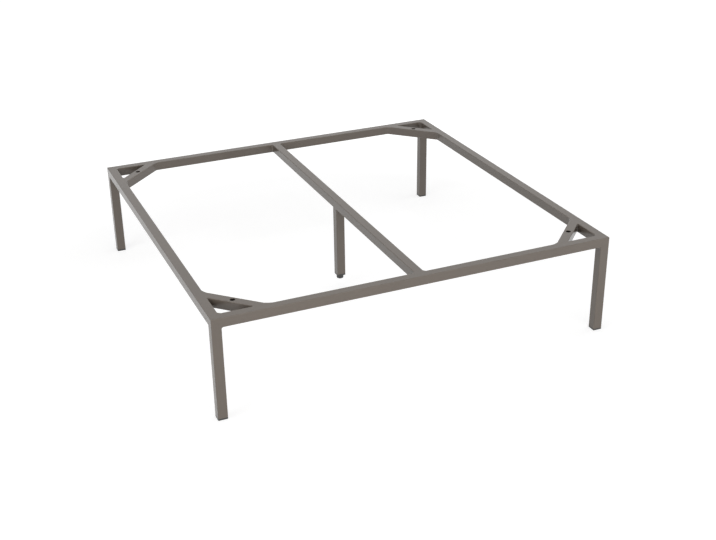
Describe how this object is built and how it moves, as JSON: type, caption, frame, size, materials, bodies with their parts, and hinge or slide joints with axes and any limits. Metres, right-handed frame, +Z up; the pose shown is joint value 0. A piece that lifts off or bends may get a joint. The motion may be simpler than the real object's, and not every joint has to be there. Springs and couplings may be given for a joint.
{
  "type": "square tube platform base",
  "caption": "Low square platform base of welded square tube: mitred rails, centre rail, corner legs, drilled corner braces, and a levelling foot under the centre leg.",
  "frame": {"origin": "on the floor, under the middle of the frame", "axes": "+X along the front rail, to the right as seen from the front; +Y from front to back; +Z up"},
  "size_m": [1.08, 1.08, 0.272],
  "materials": {
    "powder_coat": "satin",
    "dark_plastic": "matte",
    "zinc_steel": "satin"
  },
  "bodies": {
    "frame": {"front_rail": "powder_coat", "back_rail": "powder_coat", "left_rail": "powder_coat", "right_rail": "powder_coat", "centre_rail": "powder_coat", "front_left_leg": "powder_coat", "front_right_leg": "powder_coat", "back_left_leg": "powder_coat", "back_right_leg": "powder_coat", "centre_leg": "powder_coat", "front_left_brace": "powder_coat", "front_right_brace": "powder_coat", "back_left_brace": "powder_coat", "back_right_brace": "powder_coat", "corner_leg_welds": "powder_coat", "brace_welds": "powder_coat", "centre_leg_welds": "powder_coat", "centre_rail_welds": "powder_coat", "front_left_foot_cap": "dark_plastic", "front_right_foot_cap": "dark_plastic", "back_left_foot_cap": "dark_plastic", "back_right_foot_cap": "dark_plastic", "centre_plug": "dark_plastic", "threaded_bush": "zinc_steel"},
    "levelling_foot": {"foot_stud": "zinc_steel", "foot_pad": "dark_plastic"}
  },
  "joints": [
    {"name": "foot_travel", "type": "slide", "parent": "frame", "child": "levelling_foot", "axis": [0, 0, -1], "range_m": [0, 0.027]}
  ]
}
